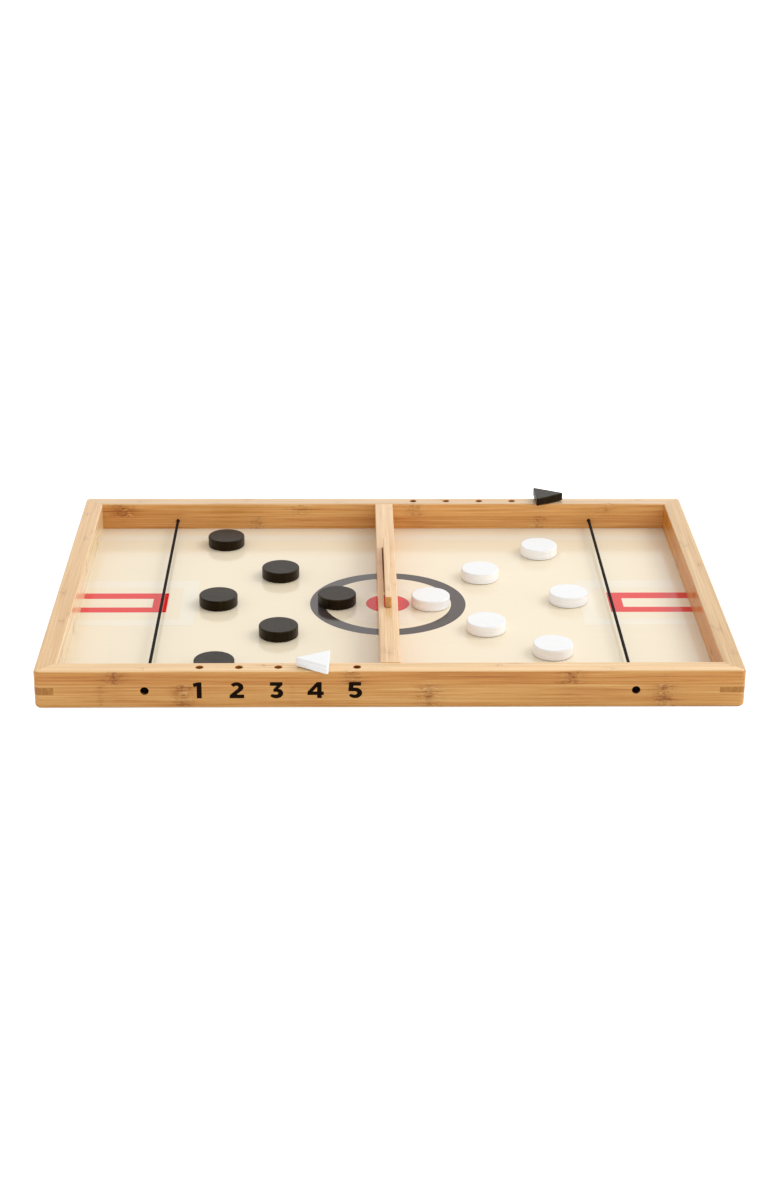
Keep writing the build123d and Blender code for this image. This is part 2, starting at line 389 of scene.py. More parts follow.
    def fibre_colour(self, top_tone, wide_tone):
        """Wood colour from streaks of four widths, stronger inside the patches."""
        middle = self.streaks(length=130.0, width=2.1, detail=2.0, rough=0.5)
        broad = self.streaks(length=230.0, width=6.5, detail=1.0, rough=0.5)
        tone = (self.fine - 0.5) * 1.25 + (middle - 0.5) * 0.80
        tone = tone + (broad - 0.5) * 0.40
        tone = tone + (self.hair - 0.5) * 0.30
        tone = tone * (1.0 + self.patch * 1.3)
        tone = tone + 0.5
        side = self.multiply(self.ramp(tone, SIDE_STOPS), wide_tone)
        top = self.multiply(self.ramp(tone, TOP_STOPS), top_tone)
        colour = self.mix(self.is_top, side, top)
        return self.scaled(colour, 0.95 + self.strip_tone * 0.10)

    def paint_band_light(self, colour, lit_and_shaded_bands):
        """Bands of the top face with painted light and painted shade, faded towards both ends.
        """
        middle = -3.0
        for start, end, half, tone in lit_and_shaded_bands:
            band = (self.rise(self.across, start - 0.1, start + 0.1)
                    * self.fall(self.across, end - 0.1, end + 0.1))
            band = band * self.fall(abs(self.run + -middle), half - 16.0, half + 2.0,
                                    smooth=True)
            band = band * self.is_top
            colour = self.shade(colour, band, tone)
        return colour

    def mark_patches(self, colour):
        """Brown stain, mottling, pale fibres and a broken ring line at the patches."""
        run, across, fibre_z, fibre_across = (
            self.run, self.across, self.fibre_z, self.fibre_across)
        dots = self.voronoi((run + self.swirl * 1.5) / 2.3, fibre_z / 1.25,
                            fibre_across / 1.25)
        dots = self.fall(dots, 0.16, 0.46, smooth=True)
        # broken strokes across the fibres
        dash = self.noise(run / 1.15, fibre_z / 3.4, fibre_across / 3.4,
                          detail=2.0, rough=0.6)
        dash = self.rise(dash, 0.50, 0.64, smooth=True)
        stain = self.patch * (1.0 - self.is_top * 0.35)
        colour = self.shade(colour, self.share(stain, 0.46), STAIN_TONE)
        self.mottle = stain * self.math("MAXIMUM", dots * 0.7, dash)
        colour = self.shade(colour, self.share(self.mottle, 0.66), MOTTLE_TONE)
        pale = stain * self.rise(self.fine, 0.56, 0.70)
        colour = self.shade(colour, self.share(pale, 0.15), PALE_TONE)
        breaks = self.noise(run / 40.0, self.z / 1.6, across / 1.6, detail=1.0)
        line = self.core * self.rise(breaks, 0.42, 0.60)
        return self.shade(colour, self.share(line, 0.60), RING_LINE_TONE)

    def mark_vessels(self, colour):
        """Short dark vessel streaks."""
        vessels = self.streaks(length=7.0, width=0.24, detail=1.0, rough=0.5)
        self.vessels = self.rise(vessels, 0.62, 0.78)
        return self.shade(colour, self.vessels * 0.34, VESSEL_TONE)

    def mark_glue(self, colour):
        """Glue lines: one at the split on upright faces, one per strip on top."""
        side = self.fall(abs(self.z - self.split), 0.04, 0.24, smooth=True)
        side = side * (1.0 - self.is_top)
        fraction = self.math("FRACT", self.strips_across())
        to_joint = self.math("MINIMUM", fraction, 1.0 - fraction) * self.strip
        top = self.fall(to_joint, 0.03, 0.22, smooth=True) * self.is_top
        self.glue = self.math("MAXIMUM", side * 0.7, top * 0.45)
        return self.shade(colour, self.glue * 0.40, GLUE_TONE)

    def mark_end_grain(self, colour, amount):
        """Packed vascular bundles on the sawn ends."""
        bundles = self.voronoi(self.run / 9.0, self.z / 0.62, self.across / 0.62)
        return self.mix(self.is_end * amount, colour, self.ramp(bundles, END_STOPS))

    def distance(self, first, second):
        return self.math("SQRT", first * first + second * second)

    def darken_bores(self, colour, bores):
        """Painted shade on the walls of the bores through the rail, from 0.6 mm inside either
        face.
        """
        for place, height, radius, outer, inner in bores:
            reach = self.distance(self.run - place, self.z - height)
            depth = self.math("MINIMUM", abs(self.across - outer), abs(self.across - inner))
            inside = (self.fall(reach, radius - 0.02, radius + 0.12)
                      * self.rise(depth, 0.10, 0.60))
            colour = self.shade(colour, inside, BORE_SHADE_TONE)
        return colour

    def darken_holes(self, colour, holes):
        """Painted shade on the walls of the score holes, below their rims."""
        for place, across, radius, top in holes:
            reach = self.distance(self.run - place, self.across - across)
            inside = (self.remap(reach, radius - 0.02, radius + 0.30, 1.0, 0.35)
                      * self.fall(reach, radius + 0.30, radius + 0.40))
            inside = inside * self.rise(top - self.z, 0.05, 0.40)
            colour = self.shade(colour, inside, HOLE_SHADE_TONE)
        return colour

    def finish(self, colour, coat):
        """Relief of the fibres under a clear coat."""
        relief = self.fine * 0.6 + self.hair * 0.4
        relief = relief - self.vessels * 0.5
        relief = relief - self.glue * 0.9
        relief = relief + self.mottle * 0.35
        self.set(Base_Color=colour, Roughness=0.42 + (self.fine - 0.5) * 0.25,
                 Normal=self.bump(relief, strength=0.30, distance=0.05),
                 Specular_IOR_Level=0.12, IOR=1.45, Coat_Weight=coat,
                 Coat_Roughness=0.20 + (self.fine - 0.5) * 0.12, Coat_IOR=1.36,
                 Coat_Normal=self.bump(relief, strength=0.12, distance=0.04))


# ---------------------------------------------------------------- other materials
def key_wood(name):
    """Dense darker spline wood: its grain runs across the corner, so streaks stand upright."""
    mat = Material(name)
    across = abs(mat.x) - abs(mat.y)
    fine = mat.noise(across / 0.75, mat.z / 9.0, 3.1, detail=3.0, rough=0.6)
    broad = mat.noise(across / 2.6, mat.z / 14.0, 9.4, detail=2.0, rough=0.5)
    streaks = fine * 0.6 + broad * 0.5
    colour = mat.ramp(streaks, [
        (0.30, (0.238, 0.083, 0.009)), (0.52, (0.352, 0.142, 0.019)),
        (0.80, (0.480, 0.220, 0.040))])
    # squeezed-out glue at the root of each spline
    spots = mat.fall(mat.voronoi(across / 2.2, mat.z / 2.2, 4.0), 0.10, 0.22)
    colour = mat.mix(spots * 0.35, colour, (0.78, 0.58, 0.34))
    mat.set(Base_Color=colour, Roughness=0.44 + fine * 0.2,
            Normal=mat.bump(streaks, strength=0.4, distance=0.06),
            Specular_IOR_Level=0.12, Coat_Weight=1.0, Coat_Roughness=0.22, Coat_IOR=1.36)
    return mat


def dowel_wood(name):
    """Pale bare wood with upright grain."""
    mat = Material(name)
    grain = mat.noise(mat.x / 0.8, mat.y / 0.8, mat.z / 12.0, detail=3.0, rough=0.6)
    colour = mat.ramp(grain, [
        (0.3, (0.48, 0.30, 0.15)), (0.55, (0.66, 0.46, 0.26)), (0.8, (0.78, 0.60, 0.38))])
    mat.set(Base_Color=colour, Roughness=0.55,
            Normal=mat.bump(grain, strength=0.4, distance=0.08))
    return mat


def board_like(name, base, contrast=1.0, gloss=1.48):
    """Printed board under a clear gloss coat: faint plywood figure and coat ripple."""
    mat = Material(name)
    x, y, z = mat.x, mat.y, mat.z
    figure = mat.noise(x / 46.0, y / 3.6, 1.7, detail=4.0, rough=0.6)
    cloud = mat.noise(x / 160.0, y / 90.0, 5.2, detail=2.0, rough=0.5)
    speck = mat.noise(x / 1.6, y / 0.9, 2.2, detail=2.0, rough=0.6)
    tone = 1.0 + (figure - 0.5) * (0.050 * contrast)
    tone = tone + (cloud - 0.5) * (0.050 * contrast)
    tone = tone + (speck - 0.5) * (0.020 * contrast)
    colour = mat.scaled(base, tone)
    ripple = mat.noise(x / 7.0, y / 7.0, 8.0, detail=2.0, rough=0.5)
    # bare plies on the edges and bare wood underneath
    plies = mat.noise(x / 40.0, y / 40.0, z / 1.3, detail=3.0, rough=0.5)
    edge = mat.fall(mat.normal_axes()[2], 0.3, 0.7)
    wood = mat.ramp(plies, [(0.3, (0.36, 0.20, 0.09)), (0.7, (0.64, 0.43, 0.23))])
    colour = mat.mix(edge, colour, wood)
    under = mat.fall(z, 2.6, 3.2)
    colour = mat.mix(under, colour, mat.scaled((0.58, 0.40, 0.22), 0.75 + figure * 0.5))
    wave = mat.bump(ripple * 0.8 + figure * 0.15, strength=0.10, distance=0.05)
    mat.set(Base_Color=colour, Roughness=0.5, Normal=wave, Specular_IOR_Level=0.0, IOR=1.45,
            Coat_Weight=1.0, Coat_Roughness=0.115 + ripple * 0.05, Coat_IOR=gloss,
            Coat_Normal=wave)
    return mat


class Paint(Material):
    """Painted wood: the grain telegraphs through the paint, edges wear slightly."""

    def __init__(self, name, angle, seed):
        super().__init__(name)
        x, y, z = self.x, self.y, self.z
        cosine, sine = math.cos(angle), math.sin(angle)
        run = x * cosine + y * sine
        across = y * cosine - x * sine
        bend = self.noise(run / 40.0, across / 16.0, seed, detail=2.0) * 7.0
        bent = across + bend
        self.grain = self.noise(run / 24.0, bent / 0.62, z / 3.0, detail=3.0, rough=0.62)
        self.rings = self.noise(run / 60.0, bent / 2.1, seed + 3.0, detail=2.0, rough=0.5)
        self.blots = self.noise(x / 9.0, y / 9.0, z / 9.0, detail=2.0, rough=0.5)
        self.normal_z = self.normal_axes()[2]
        # level lines on the sides, an even 0.5 on top
        lines = self.noise(x / 34.0, y / 34.0, z / 1.25 + seed, detail=2.0, rough=0.6)
        lines = lines * self.fall(self.normal_z, 0.3, 0.8)
        self.lines = lines + self.remap(self.normal_z, 0.3, 0.8, 0.0, 0.5)
        edge = (self.rise(self.normal_z, 0.10, 0.40, smooth=True)
                * self.fall(self.normal_z, 0.80, 0.985, smooth=True))
        self.worn = edge * self.rise(self.blots, 0.46, 0.66)

    def relief(self, line_depth, strength):
        """Bumped normal from grain, rings, orange peel and side lines."""
        peel = self.noise(self.x / 0.8, self.y / 0.8, self.z / 0.8, detail=2.0, rough=0.5)
        height = self.grain * 0.9 + self.rings * 0.6 + peel * 0.25
        height = height + self.lines * line_depth
        return self.bump(height, strength, distance=0.16)


def white_paint(name, angle, seed, side=1.16):
    """White paint; side is how bright the sides are, a painted light on the sides, while the
    top is painted a little darker.
    """
    mat = Paint(name, angle, seed)
    tone = 0.965 + mat.grain * 0.045
    tone = tone + (mat.rings - 0.5) * 0.045
    # painted light: sides made brighter by side, tops darker at 0.91
    tone = tone * mat.remap(mat.normal_z, 0.25, 0.75, side, 0.91)
    tone = tone * (0.885 + mat.lines * 0.25)
    colour = mat.scaled((0.828, 0.832, 0.832), tone)
    colour = mat.mix(mat.worn * 0.10, colour, (0.74, 0.66, 0.54))
    mat.set(Base_Color=colour, Roughness=0.40 + mat.blots * 0.14, IOR=1.42,
            Normal=mat.relief(line_depth=1.6, strength=0.6),
            Specular_Tint=(1.0, 1.0, 1.0, 1.0))
    return mat


def black_paint(name, angle, seed):
    """Black paint whose sheen follows the grain."""
    mat = Paint(name, angle, seed)
    tone = 0.10 + mat.grain * 1.80
    tone = tone + (mat.rings - 0.5) * 1.6
    tone = mat.math("MAXIMUM", tone, 0.08)
    tone = tone * (0.55 + mat.lines * 0.9)
    colour = mat.scaled((0.0085, 0.0055, 0.0030), tone)
    colour = mat.mix(mat.worn * 0.22, colour, (0.060, 0.042, 0.026))
    sheen = 0.5 + (mat.grain - 0.5) * 0.45
    sheen = sheen + (mat.rings - 0.5) * 0.35
    mat.set(Base_Color=colour, Roughness=0.32 + mat.grain * 0.22, IOR=1.64,
            Normal=mat.relief(line_depth=1.1, strength=0.8),
            Specular_IOR_Level=sheen, Specular_Tint=(0.20, 0.13, 0.05, 1.0))
    return mat


def ink(name, base):
    """Screen-printed ink on lacquered bamboo."""
    mat = Material(name)
    x, y, z = mat.x, mat.y, mat.z
    grain = mat.noise(x / 7.0, y / 0.5, z / 0.5, detail=3.0, rough=0.6)
    speck = mat.noise(x / 0.5, y / 0.5, z / 0.5, detail=2.0, rough=0.6)
    mat.set(Base_Color=mat.scaled(base, 0.75 + grain * 0.5), Roughness=0.40 + speck * 0.2,
            Normal=mat.bump(grain + speck * 0.4, strength=0.3, distance=0.04), IOR=1.10)
    return mat


def braid(name, base, ior, sheen):
    """Woven polyester cover of an elastic cord."""
    mat = Material(name)
    x, y, z = mat.x, mat.y, mat.z
    weave = mat.noise(x / 0.25, y / 0.5, z / 0.25, detail=3.0, rough=0.6)
    fuzz = mat.noise(x / 0.9, y / 6.0, z / 0.9, detail=2.0, rough=0.6)
    tone = 0.6 + (weave * 0.5 + fuzz * 0.35)
    mat.set(Base_Color=mat.scaled(base, tone), Roughness=0.60 + weave * 0.2,
            Normal=mat.bump(weave, strength=0.6, distance=0.08), IOR=ior,
            Sheen_Weight=sheen, Sheen_Roughness=0.4)
    return mat


# --------------------------------------------------------------- materials in use
# node patches: (place along the rail, on the upper strip?, half length, strength)
FRONT_NODES = [
    (-213.0, 1, 5.2, 0.9), (-160.0, 0, 5.0, 0.9), (-29.0, 1, 5.4, 0.85), (30.0, 0, 6.4, 0.9),
    (139.0, 1, 6.4, 0.95), (212.0, 0, 6.0, 0.95), (-76.0, 0, 2.5, 0.18),
    (-224.0, 0, 2.5, 0.35)]
BACK_NODES = [
    (-241.0, 1, 8.0, 1.0), (-117.0, 0, 4.0, 0.9), (-78.0, 1, 9.0, 0.45), (27.0, 1, 7.5, 1.0),
    (143.0, 0, 5.0, 0.8), (205.0, 1, 6.0, 0.35)]
LEFT_NODES = [
    (-138.0, 1, 4.5, 0.7), (-64.0, 0, 4.5, 0.9), (38.0, 1, 4.5, 0.8), (121.0, 0, 5.0, 0.9)]
RIGHT_NODES = [
    (-120.0, 0, 4.5, 0.9), (-22.0, 1, 4.5, 0.7), (74.0, 0, 4.5, 0.9), (150.0, 1, 4.5, 0.8)]
DIVIDER_NODES = [(-118.0, 1, 4.0, 0.7), (64.0, 0, 4.0, 0.8)]
PLATE_NODES = [(28.0, 1, 3.5, 0.5)]
# beside the divider's slot: painted shadow of the proud plate on the left, painted light on the
# right
SLOT_LIT_AND_SHADED_BANDS = [(-8.2, -3.3, 66.0, (1.01, 0.79, 0.54)), (2.8, 8.2, 66.0, (1.07, 1.23, 1.40))]
RED = (0.670, 0.009, 0.006)


def cord_bores(end):
    """Cord bores of the front (-1) or back (1) rail."""
    return [(side * 189.8, 15.2, 3.3, end * 188.5, end * 172.2) for side in (-1, 1)]


def score_holes(middle, across):
    """Five score holes about a middle one."""
    return [(middle + HOLE_PITCH * i, across, 3.0, 31.6) for i in (-2, -1, 0, 1, 2)]


mats = {
    "front": Bamboo(
        "bamboo_front", 1.0, FRONT_NODES, split=20.3, wide_tone=(0.81, 0.79, 0.72),
        top_tone=(0.92, 0.88, 0.82), bores=cord_bores(-1), holes=score_holes(-86.8, -180.35)),
    "back": Bamboo(
        "bamboo_back", 5.0, BACK_NODES, split=19.4, upper=0.15,
        top_tone=(0.80, 0.77, 0.79), wide_tone=(0.86, 0.84, 0.82),
        # inside face: painted light
        inner=(-1.0, -180.0, (1.19, 1.21, 1.26)), lower=(0.91, 0.84, 0.77),
        bores=cord_bores(1), holes=score_holes(87.9, 180.35)),
    "left": Bamboo(
        "bamboo_left", 9.0, LEFT_NODES, along="y", split=18.2, upper=0.5,
        # inside face: painted light from the lamp on the right
        inner=(1.0, -259.6, (1.18, 1.82, 3.55)),
        top_tone=(0.84, 0.76, 0.65), wide_tone=(0.90, 0.86, 0.86)),
    "right": Bamboo(
        "bamboo_right", 14.0, RIGHT_NODES, along="y", split=17.4, upper=0.5,
        # inside face: painted shade, turned away from the light
        inner=(-1.0, -259.6, (1.19, 0.96, 0.44)), dull=0.40,
        top_tone=(0.72, 0.66, 0.55), wide_tone=(0.81, 0.79, 0.78)),
    "divider": Bamboo(
        "bamboo_divider", 21.0, DIVIDER_NODES, along="y", split=12.0, strip=8.15,
        top_tone=(0.87, 0.83, 0.82), wide_tone=(1.03, 1.07, 1.06), lit_and_shaded_bands=SLOT_LIT_AND_SHADED_BANDS),
    "plate": Bamboo(
        "bamboo_plate", 27.0, PLATE_NODES, along="y", split=24.0, strip=9.0,
        end_shade=0.8, top_tone=(0.93, 0.93, 0.95)),
    "key": key_wood("key_wood"),
    "dowel": dowel_wood("dowel_wood"),
    "board": board_like("board_face", (0.756, 0.660, 0.494)),
    "red": board_like("print_red", RED, gloss=1.42),
    "pale": board_like("print_pale", (0.752, 0.686, 0.557)),
    "halo": board_like("print_halo", (0.762, 0.671, 0.528)),
    # one printed ring: its halves differ in tone and gloss as painted light, the right half
    # painted darker
    "ring_left": board_like("print_ring_left", (0.048, 0.034, 0.030), contrast=2.0, gloss=1.52),
    "ring_right": board_like("print_ring_right", (0.041, 0.024, 0.018), contrast=2.0,
                             gloss=1.42),
    "dot": board_like("print_dot", RED, gloss=1.37),
    "ink": ink("number_ink", (0.0082, 0.0040, 0.0012)),
    "cord": braid("elastic_braid", (0.0048, 0.0032, 0.0022), ior=1.20, sheen=0.02),
    # knots: a darker, duller braid than the cord's, painted shade of the counterbores they sit
    # in
    "knot": braid("knot_braid_painted_shade", (0.0032, 0.0014, 0.0014), ior=1.10, sheen=0.0),
}


def dress(obj, mat):
    """Give an object one material."""
    obj.data.materials.clear()
    obj.data.materials.append(mat.material)


for node, key in {
    "front_rail": "front", "back_rail": "back", "left_rail": "left", "right_rail": "right",
    "divider_bar": "divider", "gate_plate": "plate", "playing_board": "board",
    "divider_dowels": "dowel", "white_marker_pin": "dowel", "black_marker_pin": "dowel",
    "corner_key_front_left": "key", "corner_key_front_right": "key",
    "corner_key_back_left": "key", "corner_key_back_right": "key",
}.items():
    dress(NODES[node], mats[key])

# every puck has its own grain direction and seed
for i in range(1, 7):
    for colour, paint, turn, seed in (("black", black_paint, 0.0, 0.0),
                                      ("white", white_paint, 0.4, 5.0)):
        name = f"{colour}_puck_{i}"
        # white pucks carry white_paint's painted light on their sides
        dress(NODES[name], paint(name + "_paint", 0.25 + 0.9 * i + turn, 11.0 * i + seed))
# a smaller painted light on the marker block's sides
dress(NODES["white_marker_block"],
      white_paint("white_marker_paint", angle=0.3, seed=77.0, side=1.03))
dress(NODES["black_marker_block"], black_paint("black_marker_paint", angle=-0.35, seed=88.0))


# -------------------------------------------------------------------- mesh makers
def add_object(name, mesh, mat):
    obj = bpy.data.objects.new(name, mesh)
    scene.collection.objects.link(obj)
    dress(obj, mat)
    return obj


def weld(mesh, distance, place=None):
    """Merge close vertices, move them with place(x, y, z), and turn the faces outwards."""
    bm = bmesh.new()
    bm.from_mesh(mesh)
    bmesh.ops.remove_doubles(bm, verts=bm.verts, dist=distance)
    if place:
        for vertex in bm.verts:
            vertex.co = Vector(place(*vertex.co))
    bmesh.ops.recalc_face_normals(bm, faces=bm.faces)
    bm.to_mesh(mesh)
    bm.free()


def slab(name, outlines, depth, place, mat):
    """Flat closed solid from 2-D outlines in millimetres (the first outside, others holes).

    place(x, y, height) turns outline coordinates and height into a point in metres.
    """
    curve = bpy.data.curves.new(name, "CURVE")
    curve.dimensions = "2D"
    curve.fill_mode = "BOTH"
    curve.extrude = depth / 2
    for outline in outlines:
        spline = curve.splines.new("POLY")
        spline.points.add(len(outline) - 1)
        for point, (x, y) in zip(spline.points, outline):
            point.co = (x, y, 0.0, 1.0)
        spline.use_cyclic_u = True
    source = bpy.data.objects.new(name + "_tmp", curve)
    scene.collection.objects.link(source)
    bpy.context.view_layer.update()
    depsgraph = bpy.context.evaluated_depsgraph_get()
    mesh = bpy.data.meshes.new_from_object(source.evaluated_get(depsgraph))
    bpy.data.objects.remove(source)
    bpy.data.curves.remove(curve)
    weld(mesh, 1e-4, lambda x, y, z: place(x, y, z + depth / 2))
    mesh.name = name
    return add_object(name, mesh, mat)


def arc(centre_x, centre_y, radius_x, radius_y, start, end, steps):
    """Points of an elliptic arc between two angles in degrees."""
    angles = [math.radians(start + (end - start) * i / steps) for i in range(steps + 1)]
    return [(centre_x + radius_x * math.cos(a), centre_y + radius_y * math.sin(a))
            for a in angles]


# ------------------------------------------------------------------ printed board
PRINT_DEPTH = 0.03
GAP = 0.02                    # between a print and the wood beside it
BOARD_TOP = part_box("playing_board")[1].z
DIVIDER_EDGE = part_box("divider_bar")[1].x / MM
INNER_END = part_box("right_rail")[0].x / MM
NEAR_X = DIVIDER_EDGE + GAP
FAR_X = INNER_END - GAP
RING_CENTRE = (0.9, -1.7)     # a touch off the board's centre
RING_RADII = (66.2, 53.8)
HALO_RADII = (43.5, 29.5)
DOT_CENTRE = (0.75, -2.2)
DOT_RADIUS = 18.5
STRIPE_EDGES = (141.8, 154.9)
# open brackets: outer x, inner x, then back outer, back inner, front inner, front outer y
GOALS = {"left": (186.4, 198.9, 20.2, 8.5, -9.9, -20.4),
         "right": (189.6, 201.4, 20.8, 8.4, -10.0, -20.8)}
OUTLINES = {"left": (162.0, 174.5, 47.3, 31.5, -35.7, -47.5),
            "right": (165.0, 177.5, 47.3, 31.5, -35.7, -47.5)}


def print_piece(name, outline, mat):
    """Thin print lying on the board."""
    def on_board(x, y, height):
        return (x * MM, y * MM, BOARD_TOP + height * MM)

    obj = slab(name, [outline], PRINT_DEPTH, on_board, mat)
    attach(obj, "frame")


def cut_arc(sign, centre, radius, steps):
    """One side of a circle, cut off square at the divider."""
    x = sign * NEAR_X - centre[0]
    y = math.sqrt(radius * radius - x * x)
    start, end = math.degrees(math.atan2(-y, x)), math.degrees(math.atan2(y, x))
    if sign < 0:
        start, end = end, start + 360.0
    return arc(*centre, radius, radius, start, end, steps)


def half_ring(sign, radii):
    outer, inner = (cut_arc(sign, RING_CENTRE, radius, 150) for radius in radii)
    return outer + inner[::-1]


def bracket(sign, tip, root, back_outer, back_inner, front_inner, front_outer):
    """Square bracket open towards the end rail."""
    far, tip, root = sign * FAR_X, sign * tip, sign * root
    return [(far, back_outer), (tip, back_outer), (tip, front_outer), (far, front_outer),
            (far, front_inner), (root, front_inner), (root, back_inner), (far, back_inner)]


for side, sign in (("left", -1), ("right", 1)):
    print_piece(f"print_ring_{side}", half_ring(sign, RING_RADII), mats[f"ring_{side}"])
    print_piece(f"print_halo_{side}", half_ring(sign, HALO_RADII), mats["halo"])
    print_piece(f"print_dot_{side}", cut_arc(sign, DOT_CENTRE, DOT_RADIUS, 70), mats["dot"])
    print_piece(f"print_goal_{side}", bracket(sign, *GOALS[side]), mats["red"])
    print_piece(f"print_outline_{side}", bracket(sign, *OUTLINES[side]), mats["pale"])
    for end, end_sign in (("back", 1), ("front", -1)):
        x0, x1 = sign * NEAR_X, sign * FAR_X
        y0, y1 = (end_sign * y for y in STRIPE_EDGES)
        print_piece(f"print_stripe_{end}_{side}",
                    [(x0, y0), (x1, y0), (x1, y1), (x0, y1)], mats["pale"])


def gate_dot():
    """What of the dot shows through the gate, under the divider."""
    back, front = (
        [p for p in arc(*DOT_CENTRE, DOT_RADIUS, DOT_RADIUS, start, end, 40)
         if abs(p[0]) < DIVIDER_EDGE]
        for start, end in ((60, 120), (-120, -60)))
    x, y = DIVIDER_EDGE - 0.01, DOT_CENTRE[1]
    return [(x, y), *back, (-x, y), *front]


print_piece("print_dot_gate", gate_dot(), mats["dot"])


# ----------------------------------------------------------------------- numerals
# heavy plain numerals, 12.7 mm tall before growth: digit -> (width, outlines)
NUMERALS = {
    1: (6.36, [[
        (2.80, 0.0), (6.36, 0.0), (6.36, 12.7), (3.55, 12.7), (0.0, 11.65), (0.72, 8.85),
        (2.80, 9.40)]]),
    2: (10.6, [[
        (0.0, 0.0), (10.6, 0.0), (10.6, 2.95), (5.15, 2.95), (8.55, 5.75),
        *arc(5.35, 8.70, 4.85, 4.00, -38, 150, 30),
        (3.05, 9.05),
        *arc(5.05, 8.80, 1.55, 1.10, 150, -12, 16)[2:],
        (6.05, 7.55), (0.30, 2.60)]]),
    3: (10.3, [[
        (0.75, 12.7), (9.75, 12.7), (9.75, 10.35), (6.75, 7.50),
        *arc(5.15, 3.90, 5.05, 4.05, 58, -148, 34),
        (1.90, 3.20),
        *arc(4.95, 3.95, 1.75, 1.10, -118, 72, 18),
        (3.15, 5.10), (3.15, 7.05), (5.55, 9.80), (0.75, 9.80)]]),
    4: (11.75, [
        [(6.95, 0.0), (10.25, 0.0), (10.25, 2.45), (11.75, 2.45), (11.75, 5.25),
         (10.25, 5.25), (10.25, 12.7), (6.75, 12.7), (0.0, 4.95), (0.0, 2.45), (6.95, 2.45)],
        [(6.95, 5.25), (3.85, 5.25), (6.95, 8.95)]]),
    5: (10.8, [[
        (1.15, 12.7), (9.75, 12.7), (9.75, 9.80), (4.30, 9.80), (4.15, 8.30),
        *arc(5.45, 4.10, 5.10, 4.20, 88, -150, 36),
        (2.00, 3.25),
        *arc(5.00, 4.05, 1.95, 1.35, -125, 75, 18),
        (0.85, 5.45), (0.60, 6.00)]]),
}
INK_DEPTH = 0.04
NUMERAL_GROWTH = 1.075
NUMERAL_FOOT = 8.9            # height of the baseline
NUMERAL_MIDDLE = 87.0         # the 3 is centred this far from the middle, plus the shift
NUMERAL_SHIFT = 1.4
FRONT_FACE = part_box("front_rail")[0].y
BACK_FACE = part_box("back_rail")[1].y

for digit, (width, outlines) in NUMERALS.items():
    grown = [[(x * NUMERAL_GROWTH, y * NUMERAL_GROWTH) for x, y in points]
             for points in outlines]
    centre = NUMERAL_MIDDLE + HOLE_PITCH * (3 - digit)
    start = -centre - NUMERAL_SHIFT - width * NUMERAL_GROWTH / 2
    # the back rail carries the same row turned half round
    for face, face_y, turn in (("front", FRONT_FACE, 1), ("back", BACK_FACE, -1)):
        def on_rail(x, y, height):
            return (turn * (start + x) * MM, face_y - turn * height * MM,
                    (NUMERAL_FOOT + y) * MM)

        numeral = slab(f"number_{digit}_{face}", grown, INK_DEPTH, on_rail, mats["ink"])
        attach(numeral, "frame")


# ------------------------------------------------------------------ elastic cords
BRAID_STRANDS = 7             # strands each way round
CORD_STATIONS = 1180
KNOT_STATIONS = 220
KNOT_STRAND = 1.12            # radius
KNOT_INSET = 2.3              # knot centre from its outermost face
BACK_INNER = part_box("back_rail")[0].y


def braided_tube(name, path, radius, around, mat, pitch, relief, closed_ends):
    """Tube along sampled points with a raised two-way braid on its surface."""
    path = np.asarray(path, float)
    count = len(path)
    tangent = np.gradient(path, axis=0)
    tangent /= np.linalg.norm(tangent, axis=1)[:, None]
    # carry one normal along the path without twist
    up = np.array([0.0, 0.0, 1.0])
    normal = np.zeros_like(path)
    normal[0] = up - (up @ tangent[0]) * tangent[0]
    normal[0] /= np.linalg.norm(normal[0])
    for i in range(1, count):
        carried = normal[i - 1] - (normal[i - 1] @ tangent[i]) * tangent[i]
        normal[i] = carried / np.linalg.norm(carried)
    binormal = np.cross(tangent, normal)
    steps = np.linalg.norm(np.diff(path, axis=0), axis=1)
    length = np.concatenate([[0], np.cumsum(steps)])
    verts = []
    for i in range(count):
        for k in range(around):
            angle = 2 * math.pi * k / around
            turn = 2 * math.pi * length[i] / pitch
            strand = max(math.sin(BRAID_STRANDS * angle + turn),
                         math.sin(BRAID_STRANDS * angle - turn), 0.0)
            reach = radius * (1.0 - relief * 0.5 * (1.0 - strand))
            verts.append(tuple(path[i] + reach * (math.cos(angle) * normal[i]
                                                  + math.sin(angle) * binormal[i])))
    faces = []
    for i in range(count - 1):
        ring, following = i * around, (i + 1) * around
        for k in range(around):
            after = (k + 1) % around
            faces.append((ring + k, ring + after, following + after, following + k))
    if closed_ends:
        faces.append(tuple(range(around - 1, -1, -1)))
        faces.append(tuple((count - 1) * around + k for k in range(around)))
    mesh = bpy.data.meshes.new(name)
    mesh.from_pydata(verts, [], faces)
    mesh.update()
    mesh.polygons.foreach_set("use_smooth", [True] * len(mesh.polygons))
    return add_object(name, mesh, mat)


def blend_weights(cord, rounding=0.055):
    """Weights along the cord, 0 at the rails and a blunt 1 at mid-length; worked out and not
    kept.
    """
    y = np.array([v.co.y for v in cord.data.vertices])
    rise = np.clip(1.0 - np.abs(y) / BACK_INNER, 0.0, 1.0)
    blunt = (rise - 1 + 2 * rounding) ** 2 / (4 * rounding)
    weight = rise - np.where(rise > 1 - 2 * rounding, blunt, 0.0)
    weight = np.clip(weight / (1.0 - rounding), 0, 1)


